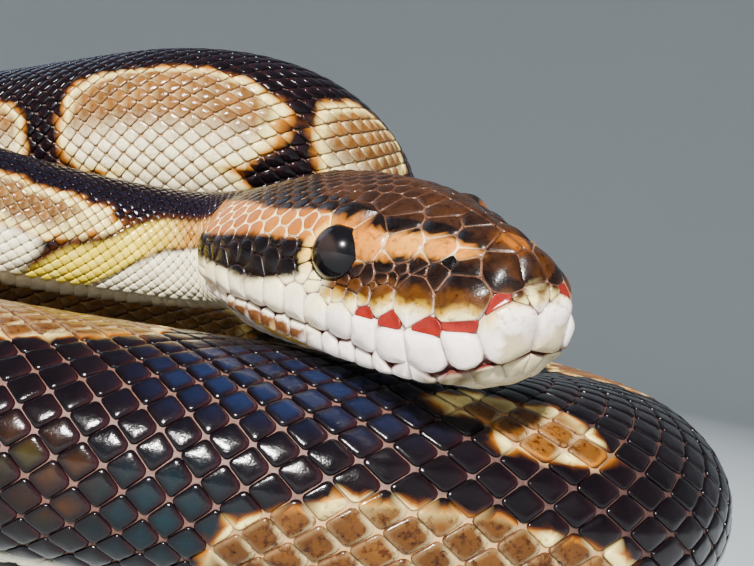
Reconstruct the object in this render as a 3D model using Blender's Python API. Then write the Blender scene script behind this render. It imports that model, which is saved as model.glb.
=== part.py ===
"""A coiled ball python at life size: head on the front coil, neck and fore body looped on top.

Metres, +Z up. The floor is z = 0 and the origin is under the middle of the pile.
"""
import math

import bmesh
import bpy
import numpy as np
from mathutils import Vector

MM = 0.001
GAP = 0.3                 # thin cut between neighbouring pieces
SINK = 0.9                # how far the weight flattens the belly on the floor
PILE_MIDDLE = (-54.7, 160.9)
BODY_LENGTH = 1015.0      # from the back of the head to the tip of the tail
SIDES = 24                # facets round the body
RING_SPACING = 9.0
SECTION_POWER = 2.15      # a little fuller than an ellipse

# The middle of the body from the back of the head to the tail tip: x, y, height of the belly.
ROUTE = [
    (-11.5, 106.4, 29.9), (-15.6, 111.0, 28.4), (-22.5, 112.9, 26.8), (-32, 111.6, 25.8),
    (-44, 107.6, 25.2), (-59, 103.2, 25.8), (-77, 101.2, 28.4), (-92.5, 109.6, 30.6), (-97, 124, 32.2),
    (-85, 136.5, 31.2), (-66, 138, 31.6), (-50, 138, 35.4), (-34, 138, 39.2), (-21, 141, 39.8),
    (-12, 153, 36.5), (-9.5, 171, 28.3), (-15, 189, 12.5), (-31, 203, 2), (-53, 207, 0), (-79, 203, 0),
    (-100, 184, 0), (-96, 160, 0), (-73, 148.5, 0), (-44, 147, 0), (-16, 147.5, 0), (8, 146, 0),
    (25, 133, 0), (30.5, 114.5, 0), (22.5, 98.5, 0), (6, 91, 0), (-15, 89, 0), (-38, 88.5, 0),
    (-64, 90, 0), (-93, 94.5, 0), (-121, 106, 0), (-141, 128, 0), (-147, 157, 0), (-142, 188, 0),
    (-127, 215, 0), (-101, 233, 0), (-67, 242, 0), (-30, 244, 0), (7, 238, 0), (38, 222, 0), (54, 201, 0),
]
# Distance behind the head: half width and half height of the body.
GIRTH = [
    (0, 9.2, 8.0), (14, 8.0, 7.8), (40, 8.5, 8.3), (80, 10.4, 10.1), (130, 12.9, 12.4),
    (190, 15.2, 14.9), (240, 16.4, 15.6), (300, 17.6, 15.6), (370, 18.9, 15.2), (420, 19.4, 14.6), (500, 19.5, 14.6),
    (530, 19.5, 13.9), (570, 19.4, 12.8), (604, 19.4, 12.2), (650, 19.1, 12.1), (710, 18.6, 12.4), (760, 17.8, 13.2),
    (820, 16.4, 13.2), (880, 13.8, 11.8), (920, 11.4, 10.2), (950, 9.2, 8.6), (980, 6.2, 5.9),
    (1005, 3.0, 2.9), (1015, 1.5, 1.4),
]
VENT = 925.0              # the tail starts here
NECK_LENGTH = 66.0
TRUNK_LENGTHS = 12

# The head: where its snout tip is, and which way it looks.
SNOUT_TIP = (13.8, 67.1, 28.6)
HEAD_YAW = math.radians(-57.3)
HEAD_DIP = math.radians(5.2)
HEAD_LEAN = math.radians(18.1)
HEAD_LENGTH = 46.0
# Behind the snout: half width at the mouth, lip (half width, height), cheek (half width, height),
# brow (half width, height), crown height.
HEAD_STATIONS = [
    (0.6, 3.0, 3.4, 1.0, 3.5, 2.8, 2.6, 4.5, 5.9),
    (1.8, 4.7, 5.2, 1.0, 5.0, 3.1, 3.9, 5.4, 7.9),
    (4.5, 6.4, 6.9, 1.0, 6.3, 3.6, 4.7, 6.4, 9.2),
    (9.0, 7.9, 8.4, 1.1, 7.4, 4.2, 5.5, 7.4, 10.7),
    (13.0, 9.0, 9.6, 1.2, 8.3, 4.8, 6.5, 8.3, 11.7),
    (16.5, 9.9, 10.5, 1.4, 9.2, 5.3, 7.7, 9.3, 12.4),
    (20.0, 10.9, 11.5, 1.6, 10.5, 5.6, 8.4, 9.8, 13.0),
    (26.0, 12.6, 13.2, 2.2, 12.6, 5.8, 9.6, 10.0, 13.3),
    (32.0, 13.8, 14.4, 3.0, 14.1, 5.9, 10.6, 9.9, 13.2),
    (37.0, 13.9, 14.6, 3.0, 14.4, 5.8, 10.8, 9.6, 12.6),
    (42.0, 11.9, 12.3, 3.0, 12.3, 5.4, 9.4, 9.4, 11.6),
    (46.0, 9.0, 9.2, 3.0, 8.9, 5.2, 7.0, 9.2, 11.0),
]
# Behind the snout: height of the mouth line.
MOUTH_LINE = [(0, -0.3), (3, -0.8), (8, -1.2), (13, -0.9), (18, -0.3), (26, 0.9), (34, 1.9), (46, 2.4)]
# Behind the snout: half width, and height of the widest part and of the bottom of the lower jaw.
JAW_STATIONS = [
    (1.6, 2.6, -1.2, -2.2), (3.0, 4.6, -1.7, -3.3), (6.0, 6.4, -2.2, -4.2), (12.0, 8.3, -2.2, -4.6),
    (20.0, 10.6, -1.6, -4.8), (28.0, 12.8, -0.5, -4.9), (35.0, 13.5, 0.4, -4.9), (41.0, 11.9, 0.8, -4.9),
    (46.0, 9.1, 1.5, -4.8),
]
EYE_BEHIND_SNOUT = 17.6
EYE_HEIGHT = 6.5
EYE_FROM_MIDDLE = 7.6
EYE_RADIUS = 2.7


def smooth_curve(table, at):
    """Each column of the table at the given places, with no overshoot between its rows."""
    rows = np.array(table, float)
    x, y = rows[:, 0], rows[:, 1:]
    slope = np.diff(y, axis=0) / np.diff(x)[:, None]
    tangent = np.zeros_like(y)
    tangent[0], tangent[-1] = slope[0], slope[-1]
    same_way = slope[:-1] * slope[1:] > 0
    total = np.where(same_way, slope[:-1] + slope[1:], 1)
    tangent[1:-1] = np.where(same_way, 2 * slope[:-1] * slope[1:] / total, 0)
    at = np.clip(np.atleast_1d(at), x[0], x[-1])
    k = np.clip(np.searchsorted(x, at, side="right") - 1, 0, len(x) - 2)
    span = (x[k + 1] - x[k])[:, None]
    t = ((at - x[k]) / span[:, 0])[:, None]
    return (
        (2 * t**3 - 3 * t**2 + 1) * y[k]
        + (t**3 - 2 * t**2 + t) * span * tangent[k]
        + (3 * t**2 - 2 * t**3) * y[k + 1]
        + (t**3 - t**2) * span * tangent[k + 1]
    )


def route_curve(points, steps=14):
    """A smooth curve through the route's points, spaced by their distance on the floor."""
    p = np.array(points, float)
    apart = np.linalg.norm(np.diff(p[:, :2], axis=0), axis=1)
    slope = np.diff(p, axis=0) / apart[:, None]
    tangent = np.empty_like(p)
    tangent[0], tangent[-1] = slope[0], slope[-1]
    weight = apart[1:, None] / (apart[1:] + apart[:-1])[:, None]
    tangent[1:-1] = slope[:-1] * weight + slope[1:] * (1 - weight)
    t = (np.arange(steps) / steps)[:, None]
    curve = [
        (2 * t**3 - 3 * t**2 + 1) * p[i]
        + (t**3 - 2 * t**2 + t) * apart[i] * tangent[i]
        + (3 * t**2 - 2 * t**3) * p[i + 1]
        + (t**3 - t**2) * apart[i] * tangent[i + 1]
        for i in range(len(p) - 1)
    ]
    return np.concatenate(curve + [p[-1:]])


def rotation(axis, angle):
    """A right-handed turn about a unit axis, as a matrix."""
    x, y, z = axis
    cross = np.array([(0, -z, y), (z, 0, -x), (-y, x, 0)])
    return np.eye(3) + math.sin(angle) * cross + (1 - math.cos(angle)) * cross @ cross


def head_axes():
    """Forward, left and up of the head, as rows."""
    forward = np.array([math.cos(HEAD_YAW) * math.cos(HEAD_DIP),
                        math.sin(HEAD_YAW) * math.cos(HEAD_DIP), -math.sin(HEAD_DIP)])
    left = np.cross((0, 0, 1), forward)
    left /= np.linalg.norm(left)
    up = np.cross(forward, left)
    lean = rotation(forward, HEAD_LEAN)
    return np.array([forward, lean @ left, lean @ up])


HEAD_AXES = head_axes()


def head_to_world(points):
    """Head points (behind the snout, to the left, up) in the frame of the pile, in mm."""
    p = np.asarray(points, float) * (-1, 1, 1)
    return p @ HEAD_AXES + SNOUT_TIP


def body_line():
    """Points every millimetre or so along the middle of the body, with the distance behind the head."""
    neck_start = head_to_world((HEAD_LENGTH, 0, 2.7))
    curve = route_curve(ROUTE)
    height = np.full(len(curve), 12.0)
    for _ in range(5):
        sink = SINK * np.minimum(height / 8, 1)
        middle = np.column_stack([curve[:, :2], curve[:, 2] + height - sink])
        run = np.concatenate([[0], np.cumsum(np.linalg.norm(np.diff(middle, axis=0), axis=1))])
        height = smooth_curve(GIRTH, run * BODY_LENGTH / run[-1])[:, 1]
    middle = np.concatenate([neck_start[None], middle[8:]])
    run = np.concatenate([[0], np.cumsum(np.linalg.norm(np.diff(middle, axis=0), axis=1))])
    even = np.linspace(0, run[-1], int(BODY_LENGTH) + 1)
    middle = np.column_stack([np.interp(even, run, middle[:, k]) for k in range(3)])
    for _ in range(40):
        middle[1:-1] = 0.25 * middle[:-2] + 0.5 * middle[1:-1] + 0.25 * middle[2:]
    return even * BODY_LENGTH / run[-1], middle


LINE_AT, LINE = body_line()


def body_frame(at):
    """Middle, direction, right side and up of the body at the given distances behind the head."""
    at = np.atleast_1d(np.asarray(at, float))
    middle = np.column_stack([np.interp(at, LINE_AT, LINE[:, k]) for k in range(3)])
    ahead = np.column_stack([np.interp(at + 1, LINE_AT, LINE[:, k]) for k in range(3)])
    behind = np.column_stack([np.interp(at - 1, LINE_AT, LINE[:, k]) for k in range(3)])
    along = ahead - behind
    along /= np.linalg.norm(along, axis=1)[:, None]
    # The neck leaves the head square to its back.
    square = np.clip(1 - at / 14, 0, 1)[:, None]
    along = along * (1 - square) - HEAD_AXES[0] * square
    along /= np.linalg.norm(along, axis=1)[:, None]
    # Next to the head the body leans as the head does, and it stands upright 35 mm further back.
    lean = np.clip(1 - at / 35, 0, 1)[:, None]
    lean = lean * lean * (3 - 2 * lean)
    reference = (1 - lean) * (0, 0, 1) + lean * HEAD_AXES[2]
    side = np.cross(reference, along)
    side /= np.linalg.norm(side, axis=1)[:, None]
    return middle, along, side, np.cross(along, side)


def body_rings(at, sides=SIDES):
    """Rings of points round the body. The first of each is on its right side, the next higher."""
    middle, _, side, up = body_frame(at)
    size = smooth_curve(GIRTH, at)
    angle = np.arange(sides) * 2 * math.pi / sides
    across = np.sign(np.cos(angle)) * np.abs(np.cos(angle)) ** (2 / SECTION_POWER)
    above = np.sign(np.sin(angle)) * np.abs(np.sin(angle)) ** (2 / SECTION_POWER)
    rings = (
        middle[:, None]
        + side[:, None] * (across[None, :, None] * size[:, 0][:, None, None])
        + up[:, None] * (above[None, :, None] * size[:, 1][:, None, None])
    )
    rings[..., 2] = np.maximum(rings[..., 2], 0)
    return rings


def material(name, colour, roughness):
    made = bpy.data.materials.new(name)
    made.use_nodes = True
    shader = made.node_tree.nodes["Principled BSDF"]
    shader.inputs["Base Color"].default_value = (*colour, 1)
    shader.inputs["Roughness"].default_value = roughness
    return made


def add_object(name, mesh, finish):
    mesh.materials.append(finish)
    mesh.shade_smooth()
    obj = bpy.data.objects.new(name, mesh)
    bpy.context.scene.collection.objects.link(obj)
    return obj


def loft(name, rings, finish, tip_start=None, tip_end=None):
    """A closed solid through rings of points in mm, with flat ends or pointed ones."""
    bm = bmesh.new()
    loops = [[bm.verts.new(Vector(point) * MM) for point in ring] for ring in rings]
    count = len(loops[0])
    for near, far in zip(loops, loops[1:]):
        for k in range(count):
            bm.faces.new((near[k], near[(k + 1) % count], far[(k + 1) % count], far[k]))
    for loop, tip in ((loops[0], tip_start), (loops[-1], tip_end)):
        if tip is None:
            bm.faces.new(loop)
            continue
        point = bm.verts.new(Vector(tip) * MM)
        for k in range(count):
            bm.faces.new((loop[k], loop[(k + 1) % count], point))
    bmesh.ops.recalc_face_normals(bm, faces=bm.faces)
    bmesh.ops.triangulate(bm, faces=bm.faces)
    mesh = bpy.data.meshes.new(name)
    bm.to_mesh(mesh)
    bm.free()
    return add_object(name, mesh, finish)


def centred(points):
    return np.asarray(points, float) - (*PILE_MIDDLE, 0)


def body_piece(name, start, end, finish, tip=False):
    count = max(2, round((end - start) / RING_SPACING)) + 1
    rings = centred(body_rings(np.linspace(start, end, count)))
    if not tip:
        return loft(name, rings, finish)
    middle, along, _, _ = body_frame(end)
    point = centred(middle[0] + along[0] * 2.5)
    point[2] = max(point[2], 0.6)
    return loft(name, rings, finish, tip_end=point)


def half_section(points, count):
    """Points spaced along a smooth line through the given (half width, height) points."""
    p = np.array(points, float)
    run = np.concatenate([[0], np.cumsum(np.linalg.norm(np.diff(p, axis=0), axis=1))])
    return smooth_curve(np.column_stack([run, p]), np.linspace(0, run[-1], count))


def upper_head_ring(row, mouth):
    behind, w_mouth, w_lip, h_lip, w_cheek, h_cheek, w_brow, h_brow, h_crown = row
    half = half_section(
        [(w_mouth, mouth), (w_lip, h_lip), (w_cheek, h_cheek), (w_brow, h_brow),
         (w_brow * 0.5, h_crown - (h_crown - h_brow) * 0.3), (0, h_crown)], 12)
    right = np.column_stack([np.full(12, behind), -half[:, 0], half[:, 1]])
    left = (right * (1, -1, 1))[-2::-1]
    return np.concatenate([right, left])


def jaw_ring(row, mouth, lip):
    behind, width, h_wide, bottom = row
    half = half_section([(lip - 0.2, mouth - GAP), (width, h_wide), (width * 0.68, bottom * 0.76), (0, bottom)], 7)
    right = np.column_stack([np.full(7, behind), -half[:, 0], half[:, 1]])
    left = (right * (1, -1, 1))[-2::-1]
    return np.concatenate([right, left])


def eye(name, side, finish):
    """The ball of an eye; side is 1 for the left and -1 for the right."""
    mesh = bpy.data.meshes.new(name)
    bm = bmesh.new()
    bmesh.ops.create_uvsphere(bm, u_segments=16, v_segments=10, radius=EYE_RADIUS * MM)
    bm.to_mesh(mesh)
    bm.free()
    obj = add_object(name, mesh, finish)
    obj.location = Vector(centred(head_to_world((EYE_BEHIND_SNOUT, side * EYE_FROM_MIDDLE, EYE_HEIGHT)))) * MM
    return obj


def socket_cutter(side):
    """A ball a thin gap larger than the eye, which hollows the head for it."""
    cutter = eye(f"socket_{side}", side, None)
    cutter.scale = (1 + GAP / EYE_RADIUS,) * 3
    cutter.hide_render = True
    cutter.display_type = "WIRE"
    return cutter


def head(skin, mouth_skin):
    stations = np.array(HEAD_STATIONS)
    mouth = smooth_curve(MOUTH_LINE, stations[:, 0])[:, 0]
    rings = [centred(head_to_world(upper_head_ring(row, m))) for row, m in zip(stations, mouth)]
    snout = centred(head_to_world((0, 0, 2.6)))
    upper = loft("head", rings, skin, tip_start=snout)
    for side in (-1, 1):
        cut = upper.modifiers.new("socket", "BOOLEAN")
        cut.object = socket_cutter(side)
        cut.operation = "DIFFERENCE"
    rows = np.array(JAW_STATIONS)
    mouth = smooth_curve(MOUTH_LINE, rows[:, 0])[:, 0]
    lip = smooth_curve(HEAD_STATIONS, rows[:, 0])[:, 0]
    rings = [centred(head_to_world(jaw_ring(row, m, w))) for row, m, w in zip(rows, mouth, lip)]
    loft("lower_jaw", rings, mouth_skin)


def build():
    for obj in list(bpy.data.objects):
        bpy.data.objects.remove(obj)
    dark = material("dark brown scales", (0.045, 0.028, 0.024), 0.3)
    tan = material("tan scales", (0.42, 0.24, 0.12), 0.35)
    pale = material("pale belly scales", (0.75, 0.68, 0.55), 0.4)
    glossy = material("eye", (0.01, 0.01, 0.015), 0.05)

    head(dark, pale)
    eye("eye_right", -1, glossy)
    eye("eye_left", 1, glossy)

    cuts = [NECK_LENGTH + k * (VENT - NECK_LENGTH) / TRUNK_LENGTHS for k in range(TRUNK_LENGTHS + 1)]
    body_piece("neck", GAP, cuts[0] - GAP / 2, tan)
    for k in range(TRUNK_LENGTHS):
        finish = dark if k % 2 else tan
        body_piece(f"trunk_{k + 1:02d}", cuts[k] + GAP / 2, cuts[k + 1] - GAP / 2, finish)
    body_piece("tail", VENT + GAP / 2, BODY_LENGTH, dark, tip=True)


build()
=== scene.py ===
"""The looks of the coiled ball python: one skin under separate scales, plates on the head, and its eyes.

Lengths here are millimetres in the frame of the solids, and metres once they are in a mesh.
"""

import math

import bpy
import numpy as np
from mathutils import Matrix, Vector
from mathutils.bvhtree import BVHTree


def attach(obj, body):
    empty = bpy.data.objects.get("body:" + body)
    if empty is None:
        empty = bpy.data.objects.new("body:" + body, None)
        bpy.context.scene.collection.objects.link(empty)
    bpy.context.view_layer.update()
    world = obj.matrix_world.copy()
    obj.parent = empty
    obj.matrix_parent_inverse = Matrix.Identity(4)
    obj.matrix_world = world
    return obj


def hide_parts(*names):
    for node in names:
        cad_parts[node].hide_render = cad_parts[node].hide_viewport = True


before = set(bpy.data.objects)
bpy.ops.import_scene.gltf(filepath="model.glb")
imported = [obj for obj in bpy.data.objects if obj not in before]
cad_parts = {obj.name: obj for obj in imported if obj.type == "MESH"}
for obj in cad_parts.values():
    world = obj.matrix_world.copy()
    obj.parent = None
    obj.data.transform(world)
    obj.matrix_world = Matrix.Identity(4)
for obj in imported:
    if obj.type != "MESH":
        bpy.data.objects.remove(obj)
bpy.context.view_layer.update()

MM = 0.001
rng = np.random.default_rng(7)

# ---------------- the shape of the solids, repeated
SINK = 0.9
PILE_MIDDLE = (-54.7, 160.9)
BODY_LENGTH = 1015.0
SECTION_POWER = 2.15
# Points of the body from the head back: x, y, and the height of its underside.
ROUTE = [
    (-11.5, 106.4, 29.9), (-15.6, 111, 28.4), (-22.5, 112.9, 26.8), (-32, 111.6, 25.8),
    (-44, 107.6, 25.2), (-59, 103.2, 25.8), (-77, 101.2, 28.4), (-92.5, 109.6, 30.6), (-97, 124, 32.2),
    (-85, 136.5, 31.2), (-66, 138, 31.6), (-50, 138, 35.4), (-34, 138, 39.2), (-21, 141, 39.8),
    (-12, 153, 36.5), (-9.5, 171, 28.3), (-15, 189, 12.5), (-31, 203, 2), (-53, 207, 0), (-79, 203, 0),
    (-100, 184, 0), (-96, 160, 0), (-73, 148.5, 0), (-44, 147, 0), (-16, 147.5, 0), (8, 146, 0),
    (25, 133, 0), (30.5, 114.5, 0), (22.5, 98.5, 0), (6, 91, 0), (-15, 89, 0), (-38, 88.5, 0),
    (-64, 90, 0), (-93, 94.5, 0), (-121, 106, 0), (-141, 128, 0), (-147, 157, 0), (-142, 188, 0),
    (-127, 215, 0), (-101, 233, 0), (-67, 242, 0), (-30, 244, 0), (7, 238, 0), (38, 222, 0),
    (54, 201, 0),
]
# Distance behind the head, half width and half height of the body.
GIRTH = [
    (0, 9.2, 8), (14, 8, 7.8), (40, 8.5, 8.3), (80, 10.4, 10.1), (130, 12.9, 12.4), (190, 15.2, 14.9),
    (240, 16.4, 15.6), (300, 17.6, 15.6), (370, 18.9, 15.2), (420, 19.4, 14.6), (500, 19.5, 14.6),
    (530, 19.5, 13.9), (570, 19.4, 12.8), (604, 19.4, 12.2), (650, 19.1, 12.1), (710, 18.6, 12.4),
    (760, 17.8, 13.2), (820, 16.4, 13.2), (880, 13.8, 11.8), (920, 11.4, 10.2), (950, 9.2, 8.6),
    (980, 6.2, 5.9), (1005, 3, 2.9), (1015, 1.5, 1.4),
]
SNOUT_TIP = (13.8, 67.1, 28.6)
HEAD_YAW = math.radians(-57.3)
HEAD_DIP = math.radians(5.2)
HEAD_LEAN = math.radians(18.1)
HEAD_LENGTH = 46.0
AXIS_HEIGHT = 2.7         # the neck's middle, above the mouth's level at the snout


def unit(vectors):
    """The same directions with a length of 1."""
    return vectors / np.linalg.norm(vectors, axis=-1, keepdims=True)


def distances(points):
    """How far along the line through the points each of them lies."""
    return np.concatenate([[0], np.cumsum(np.linalg.norm(np.diff(points, axis=0), axis=1))])


def points_at(at, run, points):
    """Places at the given distances along a line of points."""
    return np.column_stack([np.interp(at, run, column) for column in points.T])


def cubic(t, start, end, span, start_slope, end_slope):
    """A smooth run from start to end over a span, while t goes from 0 to 1."""
    return (
        (2 * t**3 - 3 * t**2 + 1) * start + (t**3 - 2 * t**2 + t) * span * start_slope
        + (3 * t**2 - 2 * t**3) * end + (t**3 - t**2) * span * end_slope
    )


def smooth_curve(table, at):
    """Each column of the table at the given places, with no overshoot between its rows."""
    rows = np.array(table, float)
    x, y = rows[:, 0], rows[:, 1:]
    slope = np.diff(y, axis=0) / np.diff(x)[:, None]
    tangent = np.zeros_like(y)
    tangent[0], tangent[-1] = slope[0], slope[-1]
    same_way = slope[:-1] * slope[1:] > 0
    total = np.where(same_way, slope[:-1] + slope[1:], 1)
    tangent[1:-1] = np.where(same_way, 2 * slope[:-1] * slope[1:] / total, 0)
    at = np.clip(np.atleast_1d(at), x[0], x[-1])
    k = np.clip(np.searchsorted(x, at, side="right") - 1, 0, len(x) - 2)
    span = (x[k + 1] - x[k])[:, None]
    t = (at - x[k])[:, None] / span
    return cubic(t, y[k], y[k + 1], span, tangent[k], tangent[k + 1])


ROUTE_STEPS = 14          # points of the curve for each of the route's


def route_curve(points):
    """A smooth curve through the route's points, spaced by their distance on the floor."""
    p = np.array(points, float)
    apart = np.linalg.norm(np.diff(p[:, :2], axis=0), axis=1)
    slope = np.diff(p, axis=0) / apart[:, None]
    tangent = np.empty_like(p)
    tangent[0], tangent[-1] = slope[0], slope[-1]
    weight = apart[1:, None] / (apart[1:] + apart[:-1])[:, None]
    tangent[1:-1] = slope[:-1] * weight + slope[1:] * (1 - weight)
    t = (np.arange(ROUTE_STEPS) / ROUTE_STEPS)[:, None]
    curve = [cubic(t, p[i], p[i + 1], apart[i], tangent[i], tangent[i + 1]) for i in range(len(apart))]
    return np.concatenate(curve + [p[-1:]])


def rotation(axis, angle):
    """A right-handed turn about a unit axis, as a matrix."""
    x, y, z = axis
    cross = np.array([(0, -z, y), (z, 0, -x), (-y, x, 0)])
    return np.eye(3) + math.sin(angle) * cross + (1 - math.cos(angle)) * cross @ cross


def head_axes():
    """Forward, left and up of the head, as rows."""
    forward = np.array([math.cos(HEAD_YAW) * math.cos(HEAD_DIP),
                        math.sin(HEAD_YAW) * math.cos(HEAD_DIP), -math.sin(HEAD_DIP)])
    left = np.cross((0, 0, 1), forward)
    left /= np.linalg.norm(left)
    lean = rotation(forward, HEAD_LEAN)
    return np.array([forward, lean @ left, lean @ np.cross(forward, left)])


HEAD_AXES = head_axes()


def head_to_pile(points):
    """Head points (behind the snout, to the left, up) in the frame of the pile, in mm."""
    p = np.asarray(points, float) * (-1, 1, 1)
    return p @ HEAD_AXES + SNOUT_TIP - (*PILE_MIDDLE, 0)


def pile_to_head(points):
    """The other way round: (behind the snout, to the left, up)."""
    p = (np.asarray(points, float) + (*PILE_MIDDLE, 0) - SNOUT_TIP) @ HEAD_AXES.T
    return p * (-1, 1, 1)


LINE_AHEAD = 60           # the line goes on this far into the head, a point each mm
NECK_JOIN = 8             # points of the curve that give way to a straight run from the head
SMOOTHING_ROUNDS = 40


def body_line():
    """Points along the middle of the body, with the distance behind the head. They go on into the head."""
    neck_start = head_to_pile((HEAD_LENGTH, 0, AXIS_HEIGHT)) + (*PILE_MIDDLE, 0)
    curve = route_curve(ROUTE)
    height = np.full(len(curve), 12.0)
    for _ in range(5):
        sink = SINK * np.minimum(height / 8, 1)
        middle = np.column_stack([curve[:, :2], curve[:, 2] + height - sink])
        run = distances(middle)
        height = smooth_curve(GIRTH, run * BODY_LENGTH / run[-1])[:, 1]
    middle = np.concatenate([neck_start[None], middle[NECK_JOIN:]])
    run = distances(middle)
    even = np.linspace(0, run[-1], int(BODY_LENGTH) + 1)
    middle = points_at(even, run, middle)
    for _ in range(SMOOTHING_ROUNDS):
        middle[1:-1] = 0.25 * middle[:-2] + 0.5 * middle[1:-1] + 0.25 * middle[2:]
    ahead = np.arange(-LINE_AHEAD, 0)[:, None]
    middle = np.concatenate([middle[0] - ahead * HEAD_AXES[0], middle]) - (*PILE_MIDDLE, 0)
    return np.concatenate([ahead[:, 0], even * BODY_LENGTH / run[-1]]), middle


LINE_AT, LINE = body_line()


SQUARE_END = 14           # the body's sections turn square to the neck over this length
LEAN_END = 35             # and lose the head's lean over this one


def frame_table():
    """Middle, right side, up, half width and half height of the body, for every millimetre."""
    at = np.arange(-LINE_AHEAD, BODY_LENGTH + 1.0)
    middle = points_at(at, LINE_AT, LINE)
    along = unit(points_at(at + 1, LINE_AT, LINE) - points_at(at - 1, LINE_AT, LINE))
    square = np.clip(1 - at / SQUARE_END, 0, 1)[:, None]
    along = unit(along * (1 - square) - HEAD_AXES[0] * square)
    lean = np.clip(1 - at / LEAN_END, 0, 1)[:, None]
    lean = lean * lean * (3 - 2 * lean)
    reference = (1 - lean) * (0, 0, 1) + lean * HEAD_AXES[2]
    side = unit(np.cross(reference, along))
    return at, np.concatenate([middle, side, np.cross(along, side), smooth_curve(GIRTH, at)], axis=1)


FRAME_AT, FRAMES = frame_table()


def body_frame(at):
    """Middle, right side, up, half width and half height at the given distances behind the head."""
    at = np.asarray(at, float)
    place = np.clip(at - FRAME_AT[0], 0, len(FRAME_AT) - 1.001)
    k = place.astype(int)
    part = (place - k)[..., None]
    both = FRAMES[k] * (1 - part) + FRAMES[k + 1] * part
    return both[..., 0:3], both[..., 3:6], both[..., 6:9], both[..., 9], both[..., 10]


# Round the section: angle from the top against the share of the half girth, for several flatnesses.
FLATNESSES = np.linspace(0.55, 1.15, 13)
SHARES = np.linspace(0, 1, 257)


def signed_power(value, power):
    return np.sign(value) * np.abs(value) ** power


def girth_table():
    """The angles at even shares of the half girth, and the half girth, for each flatness."""
    angle = np.linspace(0, math.pi, 721)
    across = signed_power(np.sin(angle), 2 / SECTION_POWER)
    above = signed_power(np.cos(angle), 2 / SECTION_POWER)
    rows, girths = [], []
    for flat in FLATNESSES:
        run = np.concatenate([[0], np.cumsum(np.hypot(np.diff(across), np.diff(above) * flat))])
        rows.append(np.interp(SHARES, run / run[-1], angle))
        girths.append(run[-1])
    return np.array(rows), np.array(girths)


ANGLES, HALF_GIRTHS = girth_table()


def half_girth(at):
    """From the middle of the back to the middle of the belly, along the skin."""
    _, _, _, wide, high = body_frame(at)
    return wide * np.interp(high / wide, FLATNESSES, HALF_GIRTHS)


def body_point(at, share, lift=0.0, floor=0.0):
    """A point of the body: share is 0 on the back, 1 on the belly down the right side, -1 down the left."""
    at, share = np.broadcast_arrays(np.asarray(at, float), np.asarray(share, float))
    middle, side, up, wide, high = body_frame(at)
    flat = (high / wide - FLATNESSES[0]) / (FLATNESSES[1] - FLATNESSES[0])
    flat = np.clip(flat, 0, len(FLATNESSES) - 1.001)
    spot = np.clip(np.abs(share), 0, 1) * (len(SHARES) - 1.001)
    i, j = flat.astype(int), spot.astype(int)
    fi, fj = flat - i, spot - j
    near = ANGLES[i, j] * (1 - fi) + ANGLES[i + 1, j] * fi
    far = ANGLES[i, j + 1] * (1 - fi) + ANGLES[i + 1, j + 1] * fi
    angle = (near * (1 - fj) + far * fj) * np.sign(share)
    x = signed_power(np.sin(angle), 2 / SECTION_POWER)
    z = signed_power(np.cos(angle), 2 / SECTION_POWER)
    nx = signed_power(x, SECTION_POWER - 1) / wide
    nz = signed_power(z, SECTION_POWER - 1) / high
    rise = lift / np.hypot(nx, nz)
    across = x * wide + nx * rise
    above = z * high + nz * rise
    point = middle + side * across[..., None] + up * above[..., None]
    point[..., 2] = np.maximum(point[..., 2], floor)
    return point


# ---------------- helpers for meshes and materials
def srgb(red, green, blue):
    """A colour as it is seen, 0 to 255, in the linear values that shaders use."""
    value = np.array([red, green, blue], float) / 255
    return np.where(value <= 0.04045, value / 12.92, ((value + 0.055) / 1.055) ** 2.4)


def mix(first, second, share):
    share = np.clip(share, 0, 1)[..., None]
    return first * (1 - share) + second * share


def paint(colour, *layers):
    """The colour with layers of (colour, share) over it, one after another."""
    for layer, share in layers:
        colour = mix(colour, layer, share)
    return colour


def step(low, high, value):
    """0 at low and 1 at high, with a smooth rise between them."""
    t = np.clip((value - low) / (high - low), 0, 1)
    return t * t * (3 - 2 * t)


def oval(x, y, place, power=4):
    """1 in an oval and 0 well outside it. The place is its middle in x and y, and its reach in x and y."""
    return np.exp(-((x - place[0]) / place[2]) ** power - ((y - place[1]) / place[3]) ** power)


WAVES = rng.normal(size=(6, 3))
WAVE_STARTS = rng.uniform(0, 2 * math.pi, size=6)


def wobble(size, *places):
    """Smooth noise between about -1 and 1 that changes over the given size."""
    total = 0
    for wave, start in zip(WAVES, WAVE_STARTS):
        total = total + np.sin(sum(place * w for place, w in zip(places, wave)) * 2.2 / size + start)
    return total / 3


def add_object(name, data):
    obj = bpy.data.objects.new(name, data)
    bpy.context.scene.collection.objects.link(obj)
    return obj


def mesh_object(name, points, faces, colours, spots=None, uv=None):
    """A mesh from points in mm and faces, with a colour, an amount of spots and a UV place at each point."""
    mesh = bpy.data.meshes.new(name)
    mesh.vertices.add(len(points))
    mesh.vertices.foreach_set("co", (points * MM).astype(np.float32).ravel())
    mesh.loops.add(faces.size)
    mesh.loops.foreach_set("vertex_index", faces.astype(np.int32).ravel())
    mesh.polygons.add(len(faces))
    mesh.polygons.foreach_set("loop_start", np.arange(0, faces.size, faces.shape[1], dtype=np.int32))
    mesh.update(calc_edges=True)
    mesh.polygons.foreach_set("use_smooth", np.ones(len(faces), bool))
    layer = mesh.color_attributes.new("tone", "FLOAT_COLOR", "POINT")
    rgba = np.concatenate([colours, np.ones((len(colours), 1))], axis=1)
    layer.data.foreach_set("color", rgba.astype(np.float32).ravel())
    if spots is not None:
        layer = mesh.attributes.new("spots", "FLOAT", "POINT")
        layer.data.foreach_set("value", spots.astype(np.float32).ravel())
    if uv is not None:
        layer = mesh.uv_layers.new(name="OFBake")
        layer.data.foreach_set("uv", uv[faces.ravel()].astype(np.float32).ravel())
    return add_object(name, mesh)


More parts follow.
